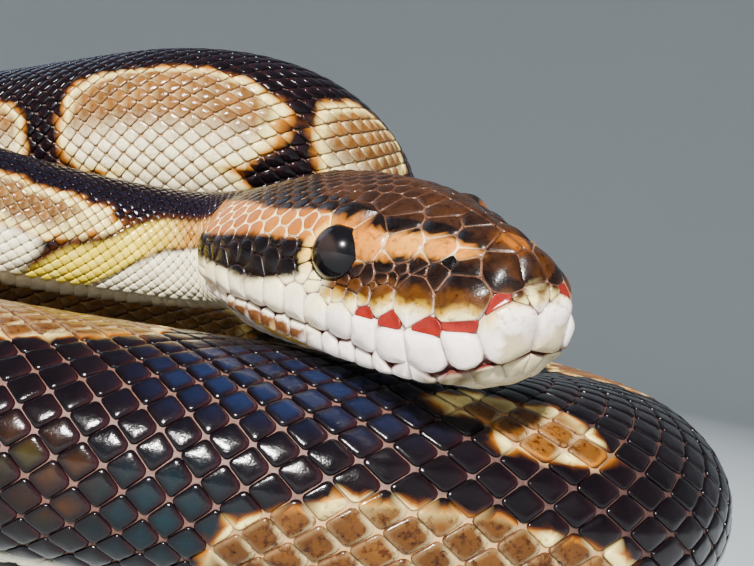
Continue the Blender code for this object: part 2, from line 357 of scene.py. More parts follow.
def tube_faces(rings, around):
    """Quads of a tube of rings, each ring closed on itself."""
    ring, spot = np.meshgrid(np.arange(rings - 1), np.arange(around), indexing="ij")
    first, after = ring * around + spot, ring * around + (spot + 1) % around
    return np.stack([first, after, after + around, first + around], axis=-1).reshape(-1, 4)


def closed_tube(rings, around):
    """Triangles of a tube of rings whose ends close on the two points that follow the rings."""
    faces = tube_faces(rings, around)
    spot = np.arange(around)
    after = (spot + 1) % around
    last, pole = (rings - 1) * around, rings * around
    return np.concatenate([
        faces[:, [0, 1, 2]], faces[:, [0, 2, 3]],
        np.column_stack([after, spot, 0 * spot + pole]),
        np.column_stack([last + spot, last + after, 0 * spot + pole + 1]),
    ])


# ---------------- markings of the body
SKIN_DEPTH = 0.38         # how far the skin lies inside the scales' outer faces
DORSAL_SHARE = 0.785      # the scales reach this far down each side, and the belly plates take the rest

# Tan blotches: distance behind the head, distance from the middle of the back (right is positive),
# half length, half width. All in mm.
BLOTCHES = [
    # the neck, on the side that shows
    (41, 11.6, 13.8, 3.4),
    # the upper coil, on the side that shows
    (171.7, -22.7, 13.6, 9), (195.6, -21.5, 7, 9), (145, -22.5, 8.2, 6.5), (172, -42, 15, 13.5),
    # the coil behind the front one, on the side that shows
    (434, -19, 24, 12),
    # the front coil
    (606, 0, 20.5, 13.6), (561.4, 37, 16.2, 12.9), (552.8, 15, 4.8, 4), (557, 13.2, 4.6, 2.4),
]


def hidden_blotches():
    """Blotches for the lengths that the photo doesn't show, in the species' usual rhythm."""
    dice = np.random.default_rng(31)
    made = []
    for side in (-1, 1):
        at = 58.0 if side > 0 else 30.0
        while at < 905:
            half = dice.uniform(8, 13) * min(1, (at + 150) / 500)
            girth = half_girth(at)
            seen = (side > 0 and (at < 60 or 528 < at < 628)) or (side < 0 and 130 < at < 208)
            if not seen:
                low = girth * dice.uniform(0.6, 0.68)
                made.append((at, side * low, half, girth * dice.uniform(0.17, 0.23)))
                made.append((at + dice.uniform(-3, 3), side * girth * 0.9, half * 1.25, girth * 0.17))
            at += 2 * half + dice.uniform(7, 12)
    at = 62.0
    while at < 960:
        half = dice.uniform(7, 12) * (1 if at < 850 else 0.6)
        girth = half_girth(at)
        if not (130 < at < 215 or 525 < at < 640):
            made.append((at, dice.uniform(-0.08, 0.08) * girth, half, girth * dice.uniform(0.13, 0.2)))
        at += 2 * half + dice.uniform(9, 17)
    return made


ALL_BLOTCHES = BLOTCHES + hidden_blotches()


DEPTH_OUTSIDE = -9.0      # far from every blotch
CORNER_POWER = 2.6        # 2 would make the blotches ellipses


def tan_depth(at, off):
    """How far inside the nearest tan blotch a place lies, in mm; negative outside."""
    best = np.full(np.shape(at), DEPTH_OUTSIDE)
    for centre, middle, half_long, half_wide in ALL_BLOTCHES:
        near = np.abs(at - centre) < half_long + 6
        if near.any():
            a = np.abs(at[near] - centre) / half_long
            b = np.abs(off[near] - middle) / half_wide
            depth = 1 - (a**CORNER_POWER + b**CORNER_POWER) ** (1 / CORNER_POWER)
            best[near] = np.maximum(best[near], depth * min(half_long, half_wide))
    return best + 0.5 * wobble(5.0, at, off) + 0.25 * wobble(1.7, off, at)


BLACK = srgb(9, 6, 9)
BLACK_WARM = srgb(22, 12, 16)
# Painted sheen: blue and teal reflections laid into the black scales' colour.
PAINTED_BLUE_SHEEN = srgb(18, 27, 52)
PAINTED_TEAL_SHEEN = srgb(8, 32, 38)
AMBER = srgb(60, 34, 10)
AMBER_OLIVE = srgb(44, 38, 14)
RUSSET = srgb(52, 24, 28)
BROWN = srgb(74, 38, 14)
GOLD = srgb(170, 104, 12)
PALE_YELLOW = srgb(250, 232, 146)
CREAM = srgb(244, 224, 164)
TAN = srgb(120, 75, 26)
TAN_DARK = srgb(84, 50, 16)
GOLD_BROWN = srgb(72, 42, 12)
OUTLINE = srgb(84, 48, 34)
BELLY = srgb(246, 238, 206)
PLATE_SHADE = srgb(214, 196, 160)
OLIVE = srgb(226, 200, 40)
SKIN_DARK = srgb(62, 42, 38)
SKIN_PAINTED_LIT = srgb(94, 65, 55)
SKIN_TAN = srgb(186, 146, 96)
SKIN_BELLY = srgb(226, 212, 194)


def belly_share(share, at, off):
    """1 on the white belly and 0 above it."""
    return step(0.70, 0.76, np.abs(share) + 0.015 * wobble(6.0, at, off))


def front_coil(at):
    """1 from the front coil on, where the scales are seen largest, and 0 before it."""
    return step(515, 545, at)


# Distance behind the head, distance from the middle of the back and half width of the neck's olive band.
OLIVE_BAND = [
    (0, 9.4, 1.6), (11, 9.8, 1.7), (19.5, 10.6, 2), (24, 12.6, 2.4), (27, 14.9, 2.6), (29.5, 16.7, 3),
    (33, 18.9, 3.6), (37, 23.5, 3.8),
]


def neck_colours(colour, at, off, chance):
    """The neck's olive band between the dark back and the white throat, painted over the rest."""
    middle, half = (column.reshape(at.shape) for column in smooth_curve(OLIVE_BAND, at.ravel()).T)
    below = (np.abs(off) - middle) / half
    here = step(39, 36, at)
    throat = step(0.4, 1.2, below + 0.25 * wobble(4.0, at, off)) * step(60, 50, at)
    throat = np.maximum(throat, step(14.2, 15.2, np.abs(off)) * step(35, 37, at) * step(62, 52, at))
    gold = mix(mix(BROWN, GOLD, 0.55), OLIVE, step(15, 26, at))
    return paint(
        colour,
        (mix(BELLY, PALE_YELLOW, 0.25 * chance), throat),
        (mix(BROWN, BLACK_WARM, 0.4), step(1.5, 1.1, np.abs(below)) * here * step(1.3, 1.0, below)),
        (mix(gold, PALE_YELLOW, 0.25 * chance), step(1.05, 0.7, np.abs(below)) * here))


# Painted blue and teal sheen, and an amber tint, on the front coil: distance behind the head, distance from
# the middle of the back, and reach in each.
BLUE_SHEEN_PLACE = (573, 12.5, 12, 5.8)
TEAL_SHEEN_PLACE = (581, 28.5, 6, 5)
AMBER_TINT = (593, 27, 6.5, 5.5)


def scale_colours(at, share, rim, fore, chance, inside):
    """The colour of each point of a body scale.

    rim is 0 at the scale's middle and 1 at its edge, fore is 1 at its head end, and inside is how deep the
    scale's root lies in a blotch."""
    off = share * half_girth(at)
    jitter = (chance - 0.5) * 0.7
    depth = tan_depth(at, off) + jitter
    # Painted sheen: a blue reflection high on the side of the front coil and faintly along the top of the
    # back before it, and a teal one lower down on the front coil.
    painted_sheen = 0.4 * step(15, 6, np.abs(off)) * step(540, 515, at) + oval(at, off, BLUE_SHEEN_PLACE)
    painted_sheen = painted_sheen * (0.85 + 0.4 * wobble(26.0, at, off) + 0.5 * (chance - 0.5))
    gilt = mix(AMBER, AMBER_OLIVE, step(-0.4, 0.4, wobble(2.4, at, off)))
    amber = step(0.25, 0.9, oval(at, off, AMBER_TINT, 2) + 0.5 * (chance - 0.5))
    dark = paint(
        mix(BLACK, BLACK_WARM, step(-0.2, 0.9, fore) * 0.8 + 0.25 * chance),
        (PAINTED_BLUE_SHEEN, painted_sheen * step(0.95, 0.45, rim)),
        (PAINTED_TEAL_SHEEN, oval(at, off, TEAL_SHEEN_PLACE, 2) * step(1.0, 0.3, rim) * 0.8),
        (gilt, amber * step(1.0, 0.3, rim) * (0.5 + 0.35 * wobble(1.6, at, off))),
        (RUSSET, step(0.35, 0.95, fore) * step(0.55, 0.95, rim) * 0.75))
    # The blotches of the front third turn cream towards the belly, and the front coil's are golden brown low
    # down at their right end.
    warm = paint(
        mix(TAN, TAN_DARK, 0.75 * chance + 0.2 * wobble(2.2, at, off) + 0.5 * step(515, 540, at)),
        (mix(CREAM, BELLY, 0.5), step(0.46, 0.60, np.abs(share)) * step(290, 230, at)),
        (GOLD_BROWN, step(20, 25, off) * step(592, 566, at) * (0.65 + 0.6 * (chance - 0.5))),
        (CREAM, step(0.6, 1.0, rim) * (0.08 + 0.5 * step(0.0, 0.9, fore))))
    # On the front coil a whole scale is pale or tan, and only the dark edge runs across scales.
    whole = front_coil(at)
    pale_depth = depth + (inside + jitter - depth) * 0.7 * whole
    border = mix(PALE_YELLOW, warm, step(0.6 - 0.7 * whole, 1.7 - 0.8 * whole, pale_depth))
    border = mix(GOLD, border, step(0.15, 0.75, depth / (1 - 0.4 * whole)))
    colour = paint(
        dark,
        (mix(BROWN, border, step(-0.15, 0.3, depth)), step(-0.45, 0.0, depth)),
        (OUTLINE, step(0.93, 1.0, rim) * step(0.3, -0.2, fore) * step(0.0, 0.6, depth) * 0.85),
        (BELLY, belly_share(share, at, off)))
    return neck_colours(colour, at, off, chance)


def skin_colours(at, share):
    off = share * half_girth(at)
    colour = paint(
        SKIN_DARK,
        # Painted light: lighter, pinker skin on the lit side of the front coil.
        (SKIN_PAINTED_LIT, step(550, 572, at) * step(650, 620, at) * step(0, 12, off)),
        (SKIN_TAN, step(-0.3, 0.6, tan_depth(at, off))),
        (SKIN_BELLY, belly_share(share, at, off)))
    return mix(colour, neck_colours(colour, at, off, 0 * at), 0.8)


# ---------------- scales of the body
def rounded_diamond(reach, corner_points, radii):
    """A diamond with a rounded corner on each axis: tail end, right, head end, left."""
    points = []
    for k, radius in enumerate(radii):
        axis = math.pi / 2 * k
        middle = np.array([math.cos(axis), math.sin(axis)]) * (reach - radius * math.sqrt(2))
        for turn in np.linspace(-math.pi / 4, math.pi / 4, corner_points):
            points.append(middle + radius * np.array([math.cos(axis + turn), math.sin(axis + turn)]))
    return np.array(points)


def dome_triangles(start, rings, count):
    """Triangles of rings of points, each inside the last, that close on the point after them."""
    here = np.arange(count)
    after = (here + 1) % count
    last = start + (rings - 1) * count
    triangles = []
    for first in range(start, last, count):
        a, b = first + here, first + after
        triangles.append(np.column_stack([a, b, b + count, a, b + count, a + count]).reshape(-1, 3))
    return np.concatenate(triangles + [np.column_stack([last + here, last + after, 0 * here + last + count])])


SCALE_REACH = 0.975       # a scale's reach over the distance between rows, so that a thin gap stays
SCALE_CORNERS = (0.26, 0.24, 0.42, 0.24)
EDGE_DEPTH = 0.26         # the edge line lies this far under the scale's top
EDGE_SLOPE = 0.13         # and is nearer to it at the tail end
SCALE_LENGTH = 2.02       # over the distance between rows


def scale_shape(corner_points, rings):
    """One scale's points (tail end, across, height), 0 to 1 from its middle to its edge, and its triangles.

    Each ring is (share of the outline, height over the edge line, how much of the dome)."""
    outline = rounded_diamond(SCALE_REACH, corner_points, SCALE_CORNERS)
    points = []
    for share, drop, dome in rings:
        ring = outline * share
        height = (-EDGE_DEPTH + EDGE_SLOPE * ring[:, 0]) * (1 - dome) + drop
        points.append(np.column_stack([ring, height]))
    rims = np.append(np.repeat([ring[0] for ring in rings], len(outline)), 0)
    return np.concatenate(points + [np.zeros((1, 3))]), rims, dome_triangles(0, len(rings), len(outline))


FINE_SCALE = scale_shape(7, [
    (1, -0.22, 0), (1, 0, 0), (0.93, 0.05, 0.26), (0.8, 0.02, 0.65), (0.64, 0, 0.84), (0.46, 0, 0.93),
    (0.28, 0, 0.97),
])
SMALL_SCALE = scale_shape(3, [(1, -0.22, 0), (1, 0, 0), (0.78, 0.03, 0.6)])

# Where each coat piece starts and ends, its rows on each side of the back, and its kind of scale.
COAT_PIECES = [
    ("neck", 1.5, 95, 25, SMALL_SCALE),
    ("fore", 95, 215, 28, SMALL_SCALE),
    ("fall", 215, 375, 25, SMALL_SCALE),
    ("inner", 375, 532, 23, SMALL_SCALE),
    ("front_right", 532, 570.83, 21, FINE_SCALE),
    ("front_left", 570.83, 610, 21, FINE_SCALE),
    ("outer", 610, 770, 21, SMALL_SCALE),
    ("rear", 770, 922, 19, SMALL_SCALE),
    ("tail", 922, 1012, 13, SMALL_SCALE),
]


def columns(start, end, rows):
    """Places of the scale columns, each a scale's length after the last."""
    places, at = [], start
    while at < end:
        places.append(at)
        row = half_girth(at) * DORSAL_SHARE / (rows + 0.5)
        at += SCALE_LENGTH * row
    return np.array(places)


def coat(name, start, end, rows, shape):
    """The scales of one length of the body, as one mesh."""
    local, rim, triangles = shape
    places = columns(start, end, rows)
    pitch = np.gradient(places)
    i, j = np.meshgrid(np.arange(len(places)), np.arange(-rows, rows + 1), indexing="ij")
    i, j = i.ravel(), j.ravel()
    row_share = DORSAL_SHARE / (rows + 0.5)
    root_at = places[i] + np.where(j % 2 == 0, 0, 0.5) * pitch[i]
    root_share = j * row_share
    root_depth = tan_depth(root_at, root_share * half_girth(root_at))
    count = len(i)
    # No two scales are quite the same size, tilt or colour.
    chance = rng.random(count)
    half = pitch[i] / 2
    size = half[:, None] * (1 + 0.03 * rng.normal(size=(count, 1)))
    tilt = rng.normal(size=(count, 2))[:, :1] * 0.02
    tail, across, height = local.T
    at = root_at[:, None] + tail * size
    share = root_share[:, None] + across * row_share
    lift = height * np.minimum(half / 1.85, 1.1)[:, None] + tilt * tail * half[:, None]
    points = body_point(at, share, lift, 0.03)
    whole = 0 * at
    colours = scale_colours(
        at, share, rim + whole, whole - tail, chance[:, None] + whole, root_depth[:, None] + whole)
    inside = step(0.2, 1.2, tan_depth(at, share * half_girth(at)))
    spots = 0.1 + inside * (0.35 + 0.55 * front_coil(at))
    # Each scale has a patch of its own on the UV map.
    uv_root = np.stack([(root_at - start) / (end - start + 6), (root_share + 1) / 2], axis=-1) * 0.98 + 0.008
    uv = uv_root[:, None, :] + local[None, :, :2] * 0.0015
    faces = (triangles + (np.arange(count) * len(local))[:, None, None]).reshape(-1, 3)
    return mesh_object(
        f"scales_{name}", points.reshape(-1, 3), faces, colours.reshape(-1, 3), spots, uv.reshape(-1, 2))


# Along a belly plate, from the head end: share of its half length, and how far it stands off the body.
PLATE_PROFILE = [(-1, -0.40), (-0.92, -0.3), (0.2, -0.14), (0.93, -0.06), (1, -0.12), (1, -0.4)]
PLATE_LAP = 1.04          # a plate's length over the distance to the next
UV_LENGTH = 1020


def belly_plates():
    """The wide plates under the body, one behind another, as one mesh."""
    places = np.concatenate([columns(start, end, rows) for _, start, end, rows, _ in COAT_PIECES])
    places = places[places > 6]
    along, rise = np.array(PLATE_PROFILE).T[:, None, :, None]
    across = np.linspace(-1, 1, 15)
    pitch = np.gradient(places)
    at = places[:, None, None] + along * 0.5 * PLATE_LAP * pitch[:, None, None] + 0 * across
    share = 1 - across * (1 - DORSAL_SHARE + 0.008) + 0 * at
    share = np.where(share > 1, share - 2, share)
    points = body_point(at, share, rise - np.abs(across) ** 8 * 0.25 + 0 * at, 0.02)
    plates, rows, cols = at.shape
    index = np.arange(rows * cols).reshape(rows, cols)
    quads = np.stack([index[:-1, 1:], index[1:, 1:], index[1:, :-1], index[:-1, :-1]], axis=-1).reshape(-1, 4)
    faces = (quads + (np.arange(plates) * rows * cols)[:, None, None]).reshape(-1, 4)
    blotch = step(-0.2, 0.8, wobble(9.0, at, across * 9.0 + 0 * at))
    colours = mix(BELLY, PLATE_SHADE, 0.5 * blotch)
    root = places[:, None, None, None] / UV_LENGTH * (1, 0) + (0, 0.5)
    uv = np.stack([at / UV_LENGTH, (across + 1) / 2 + 0 * at], axis=-1)
    uv = root + (uv - root) * (0.3, 0.9)
    return mesh_object(
        "belly_plates", points.reshape(-1, 3), faces, colours.reshape(-1, 3), np.full(at.size, 0.1),
        uv.reshape(-1, 2))


# ---------------- the head's surface
# Behind the snout: half width at the mouth, lip (half width, height), cheek (half width, height),
# brow (half width, height), crown height.
HEAD_STATIONS = [
    (0, 0.4, 0.5, 2.2, 0.5, 2.5, 0.4, 2.8, 2.9), (0.15, 1.7, 1.9, 1.4, 1.9, 2.6, 1.4, 3.7, 4.1),
    (0.6, 3, 3.4, 1, 3.5, 2.8, 2.6, 4.5, 5.9), (1.8, 4.7, 5.2, 1, 5, 3.1, 3.9, 5.4, 7.9),
    (4.5, 6.4, 6.9, 1, 6.3, 3.6, 4.7, 6.4, 9.2), (9, 7.9, 8.4, 1.1, 7.4, 4.2, 5.5, 7.4, 10.7),
    (13, 9, 9.6, 1.2, 8.3, 4.8, 6.5, 8.3, 11.7), (16.5, 9.9, 10.5, 1.4, 9.2, 5.3, 7.7, 9.3, 12.4),
    (20, 10.9, 11.5, 1.6, 10.5, 5.6, 8.4, 9.8, 13), (26, 12.6, 13.2, 2.2, 12.6, 5.8, 9.6, 10, 13.3),
    (32, 13.8, 14.4, 3, 14.1, 5.9, 10.6, 9.9, 13.2), (37, 13.9, 14.6, 3, 14.4, 5.8, 10.8, 9.6, 12.6),
    (42, 11.9, 12.3, 3, 12.3, 5.4, 9.4, 9.4, 11.6), (46, 9, 9.2, 3, 8.9, 5.2, 7, 9.2, 11),
]
# Behind the snout: height of the mouth line.
MOUTH_LINE = [
    (0, 2), (0.15, 0.7), (0.6, -0.3), (3, -1), (6, -1.8), (9, -1.8), (13, -1.3), (18, -0.6), (26, 0.6),
    (33, 1.2), (46, 2.2),
]
# Behind the snout: half width, and height of the widest part and of the bottom of the lower jaw.
JAW_STATIONS = [
    (0, 0.3, 1.9, 1.85), (0.15, 1.2, 0.5, 0.45), (0.6, 2, -0.6, -0.7), (1.6, 2.6, -1.2, -2.2),
    (3, 4.6, -1.7, -3.3), (6, 6.4, -2.7, -4.2), (12, 8.3, -2.6, -4.6), (20, 10.6, -1.7, -4.8),
    (28, 12.8, -0.5, -4.9), (35, 13.5, 0.4, -4.9), (41, 11.9, 0.8, -4.9), (46, 9.1, 1.5, -4.8),
]
EYE_PLACE = (17.55, 7.9, 6.55)       # behind the snout, from the middle, up
EYE_RADIUS = 2.85
MOUTH_CORNER = 33.0
HEAD_SKIN_DEPTH = 0.42


def setback(behind, up):
    """How far the lips and the lower jaw lie behind the tip of the snout."""
    return 0.8 * step(3.8, 1.2, up) * step(5.0, 0.0, behind)


def head_section(behind, around, slit=1.0):
    """Rings of the head's surface in head axes, from under the chin up the right side and down the left."""
    behind = np.asarray(behind, float)
    mouth_w, lip_w, lip_h, cheek_w, cheek_h, brow_w, brow_h, crown = smooth_curve(HEAD_STATIONS, behind).T
    line = smooth_curve(MOUTH_LINE, behind)[:, 0]
    jaw_w, jaw_h, jaw_low = smooth_curve(JAW_STATIONS, behind).T
    open_share = step(MOUTH_CORNER + 1.5, MOUTH_CORNER - 1.5, behind)
    groove = (0.15 + 0.95 * open_share) * slit
    stops = np.array([0, 6, 11, 16, 19, 20, 21, 24, 31, 39, 44, 48]) / 96
    across = np.stack([0 * line, 0.40 * jaw_w, 0.68 * jaw_w, jaw_w, mouth_w - 0.35 * groove, mouth_w - groove,
                       mouth_w - 0.25 * groove, lip_w, cheek_w, brow_w, 0.5 * brow_w, 0 * line])
    above = np.stack([jaw_low, 0.94 * jaw_low, 0.76 * jaw_low, jaw_h, line - 0.5, line - 0.12, line + 0.28,
                      lip_h, cheek_h, brow_h, crown - 0.3 * (crown - brow_h), crown])
    share = np.arange(around // 2 + 1) / around
    rings = []
    for k in range(len(behind)):
        half = smooth_curve(np.column_stack([stops, across[:, k], above[:, k]]), share)
        right = np.column_stack([behind[k] + setback(behind[k], half[:, 1]), -half[:, 0], half[:, 1]])
        rings.append(np.concatenate([right, (right * (1, -1, 1))[-2:0:-1]]))
    return np.array(rings)


# ---------------- markings of the head
SIDE_HEIGHT = 5.0         # turns round the head are measured about this height above the mouth
# Behind the snout, and the turn from straight up in degrees, of the edges of the head's bands.
STRIPE_TOP = [(17, 68), (20, 74), (22, 75), (25, 77), (31, 78), (36, 81), (48, 84)]
STRIPE_LOW = [(17, 86), (19.6, 90), (21, 93), (26, 95), (31, 93), (36, 92), (42, 92), (48, 90)]
TAN_TOP = [
    (3, 40), (4.4, 43), (5.7, 43), (8.2, 46), (10.4, 51), (12, 55), (13.6, 57.5), (16.4, 58), (20, 57),
    (22, 58), (25, 61), (28, 63), (34, 62), (38, 62), (48, 55),
]
TAN_LOW = [
    (3, 50), (4.2, 55), (5, 61), (6.4, 65), (8, 67), (10.8, 71), (12.2, 75), (14, 80), (16, 82),
    (17, 74), (20, 74), (48, 74),
]

LIP_WHITE = srgb(255, 240, 232)
LIP_CREAM = srgb(248, 234, 164)
HEAD_BLACK = srgb(9, 6, 7)
HEAD_BROWN = srgb(28, 15, 10)
CROWN_BROWN = srgb(58, 33, 17)
HEAD_TAN = srgb(182, 102, 16)
HEAD_TAN_BROWN = srgb(138, 72, 20)
HEAD_TAN_EDGE = srgb(240, 188, 84)
LABIAL_BROWN = srgb(74, 42, 12)
PIT_RED = srgb(122, 26, 18)
OCHRE = srgb(190, 148, 40)
MOUTH_DARK = srgb(92, 34, 28)
SUTURE_DARK = srgb(62, 38, 26)
SUTURE_BROWN = srgb(88, 58, 42)
SUTURE_PALE = srgb(150, 112, 90)
SUTURE_CREAM = srgb(246, 224, 178)
SUTURE_BLACK = srgb(42, 30, 29)
SUTURE_GREY = srgb(206, 184, 168)
JAW_GREY = srgb(214, 208, 190)
JAW_STREAK = srgb(96, 58, 30)
JAW_KHAKI = srgb(178, 160, 112)
JAW_SHADOW_BROWN = srgb(84, 60, 34)
NOSTRIL_SHADE_BLACK = srgb(8, 6, 6)
# Ovals: how far behind the snout, then how far under the mouth (or the turn in degrees for the snout's), and
# the reach in each.
STREAK_PLACE = (26, 0.7, 6.5, 0.75)
JAW_PATCH_PLACE = (24, 2.3, 3.6, 0.9)
SNOUT_PATCH_PLACE = (3.2, 8, 1.3, 8)


def turn_of(points):
    """Degrees round the head from straight up, the same on both sides."""
    return np.degrees(np.arctan2(np.abs(points[..., 1]), points[..., 2] - SIDE_HEIGHT))


def head_fields(points):
    """How much of each marking a place on the head has: tan, black stripe, pale, and black crown."""
    behind, turn = points[..., 0], turn_of(points)
    waver = wobble(4.0, behind, points[..., 1], points[..., 2])

    def line(table):
        return smooth_curve(table, behind.ravel())[:, 0].reshape(behind.shape) + waver

    tan_top, stripe_top, stripe_low = line(TAN_TOP), line(STRIPE_TOP), line(STRIPE_LOW)
    low = np.where(behind < 17.5, line(TAN_LOW), stripe_top)
    tan = step(-1.4, 1.4, turn - tan_top) * step(1.4, -1.4, turn - low) * step(3.2, 5.0, behind)
    black = step(-1.2, 1.2, turn - stripe_top) * step(1.4, -1.6, turn - stripe_low) * step(18.4, 19.4, behind)
    below = step(-1.0, 2.0, turn - stripe_low) * step(16.5, 18.5, behind)
    above = tan_top - turn
    crown_black = step(1, -1, above - 14 - 18 * step(23, 28, behind)) * step(0, 1.5, above)
    lid = step(16, 12, above) * step(14.8, 15.6, behind) * step(20.6, 19.6, behind)
    return tan, black, below, np.maximum(crown_black, lid)


def side_colours(points, speckle):
    """The side in front of the eye: dark, then brown, ochre, cream and white going down."""
    level = points[..., 2] + 0.3 * speckle + 0.25 * step(12, 16, points[..., 0])
    return paint(
        mix(HEAD_BLACK, HEAD_BROWN, 0.5 + 0.5 * speckle),
        (LABIAL_BROWN, step(5.5, 4.7, level)),
        (OCHRE, step(4.1, 3.5, level)),
        (LIP_CREAM, step(3.5, 2.9, level)),
        (LIP_WHITE, step(2.7, 2.0, level)))


def mouth_height(behind, up):
    """Height of the mouth line at a place on the head's surface."""
    return np.interp(behind - setback(behind, up), *np.array(MOUTH_LINE).T)


def jaw_colours(behind, under, speckle, cloud, chance):
    """The lower jaw: pale, with a brown streak, an ochre patch, a khaki front, and mottled brown painted
    shadow under the front.
    """
    shade = step(0.1, 0.6, 0.5 * speckle + 0.5 * cloud) * step(10.0, 7.0, behind) * step(0.6, 2.2, behind)
    return paint(
        mix(LIP_WHITE, JAW_GREY, 0.5 * chance + 0.3 * speckle),
        (JAW_STREAK, step(0.25, 0.6, oval(behind, under, STREAK_PLACE) + 0.12 * speckle)),
        (OCHRE, step(0.25, 0.7, oval(behind, under, JAW_PATCH_PLACE) + 0.1 * speckle)),
        (JAW_KHAKI, step(9.0, 4.0, behind) * 0.85),
        # Painted shadow: mottled brown under the front of the jaw.
        (JAW_SHADOW_BROWN, shade * 0.75))


def head_colours(points, chance):
    """The colour of each point of the head's plates."""
    behind, up, turn = points[..., 0], points[..., 2], turn_of(points)
    tan, black, below, crown_black = head_fields(points)
    speckle = wobble(0.9, behind, points[..., 1], up)
    cloud = wobble(3.0, behind, points[..., 1], up)
    low = np.where(behind < 5, 62, np.interp(behind, *np.array(TAN_LOW).T))
    warm = paint(
        HEAD_TAN,
        (HEAD_TAN_EDGE, 0.25 * (0.5 + 0.5 * cloud)),
        (HEAD_TAN_BROWN, (0.45 + 0.35 * chance) * step(18, 22, behind)))
    reach = np.hypot(behind - EYE_PLACE[0], up - EYE_PLACE[2])
    ring = step(3.4, 3.0, reach) * step(17.8, 19.0, behind) * step(10.2, 9.4, up)
    tip = step(0.9, 0.4, behind)
    under = mouth_height(behind, up) - up
    return paint(
        mix(CROWN_BROWN, HEAD_BROWN, 0.5 * chance + 0.5 * step(-0.5, 0.7, cloud)),
        (HEAD_BLACK, crown_black * 0.92),
        (mix(HEAD_BROWN, LABIAL_BROWN, 0.35 + 0.45 * speckle), step(6.0, 3.0, behind) * 0.8),
        # A tan patch on each side of the middle of the snout's top.
        (HEAD_TAN, oval(behind, turn, SNOUT_PATCH_PLACE) * 0.5),
        (side_colours(points, speckle), step(18.6, 17.8, behind) * step(-1.5, 1.5, turn - low)),
        (warm, tan),
        (mix(HEAD_BLACK, BLACK_WARM, 0.5 * chance), black),
        (mix(LIP_WHITE, LIP_CREAM, 0.25 + 0.3 * chance + 0.45 * step(2.2, 4.0, up)), below),
        # Pale small scales round the back of the eye.
        (mix(HEAD_TAN_EDGE, LIP_CREAM, step(6.5, 4.5, up)), ring * 0.9),
        # The tip of the snout: brown above, cream below.
        (mix(LIP_CREAM, OCHRE, 0.3 + 0.3 * speckle), tip * step(5.2, 4.3, up + 0.4 * speckle)),
        (LIP_WHITE, tip * step(4.2, 3.5, up)),
        (jaw_colours(behind, under, speckle, cloud, chance), step(0.05, 0.25, under)))


def suture_colours(points):
    """The thin lines between the head's plates, which the skin under them shares."""
    behind, up, turn = points[..., 0], points[..., 2], turn_of(points)
    tan, black, below, _ = head_fields(points)
    slit = step(0.75, 0.3, np.abs(up - mouth_height(behind, up) + 0.1))
    return paint(
        SUTURE_DARK,
        (SUTURE_BROWN, 0.5 + 0.5 * wobble(3.0, behind, points[..., 1], up)),
        (SUTURE_PALE, step(15, 11, behind) * step(12, 24, turn) * 0.5),
        (SUTURE_CREAM, tan),
        (SUTURE_BLACK, black),
        (SUTURE_GREY, np.maximum(below, step(4.0, 3.2, up) * step(60, 80, turn))),
        (MOUTH_DARK, slit * step(MOUTH_CORNER + 1.0, MOUTH_CORNER - 1, behind)))


# ---------------- plates of the head
# One row for each plate of a side: behind the snout, from the middle, up, radius, and how far it bulges.
LIPS = [
    (0.35, 2.3, 1.5, 2.7, 0.85), (2.6, 5.7, 0.5, 1.6, 0.8), (5.8, 7.1, -0.2, 1.8, 0.75),
    (9.4, 8.3, -0.2, 1.65, 0.7), (12.2, 9.2, 0.4, 1.5, 0.6), (15, 10.1, 1.2, 1.6, 0.5),
    (18, 10.9, 1.8, 1.6, 0.4), (20.6, 11.6, 2.2, 1.5, 0.4), (23.4, 12.5, 2.5, 1.5, 0.35),
    (26.2, 13.2, 2.7, 1.5, 0.35), (29, 13.9, 3, 1.5, 0.3), (31.8, 14.4, 3.1, 1.4, 0.3),
    (34.2, 14.6, 3, 1.2, 0.25),
]
PITS = [
    (0.75, 3.35, 3.8, 0.5), (2.6, 5.75, 2.25, 0.95), (5.6, 7.35, 1.5, 0.5), (9.3, 8.4, 1.8, 0.38),
    (12.1, 9.1, 2.35, 0.32),
]
UPPER_LIPS = [
    (3.4, 5.3, 4.8, 2.15, 0.2), (7.6, 7, 4.2, 1.9, 0.2), (10.8, 8.2, 3.8, 1.25, 0.25),
    (12.7, 8.8, 3.7, 0.8, 0.2), (14.1, 9.3, 3.1, 0.85, 0.2), (13.9, 8.9, 4.4, 0.7, 0.2),
    (15.5, 9.6, 3.4, 0.8, 0.2), (17, 10.2, 3.4, 0.75, 0.2), (18.6, 10.7, 3.9, 0.75, 0.2),
    (0.15, 0, 4.2, 1.15, 0.3), (0.2, 1.5, 3.7, 0.8, 0.3),
]
LOREALS = [
    (14.6, 8.4, 6, 1, 0.15), (13.2, 8.1, 5.3, 0.75, 0.15), (11.6, 7.1, 6.5, 1.1, 0.15),
    (9.9, 6.6, 6.3, 0.8, 0.15), (8.6, 5.9, 6.8, 0.95, 0.15), (11.4, 7.6, 5.3, 0.8, 0.15),
    (10.3, 7.2, 5.4, 0.65, 0.15), (11.8, 8.1, 4.5, 0.5, 0.12), (7.8, 6.1, 5.9, 0.65, 0.15),
    (9.2, 6.9, 5.3, 0.6, 0.15),
]
NASALS = [(6.2, 5.5, 5.9, 1.15, 0.15), (3.8, 4.4, 6.6, 1.45, 0.14), (4.7, 3.7, 7.6, 0.9, 0.12)]
NOSTRIL = (5.9, 4.85, 6.95, 0.62)
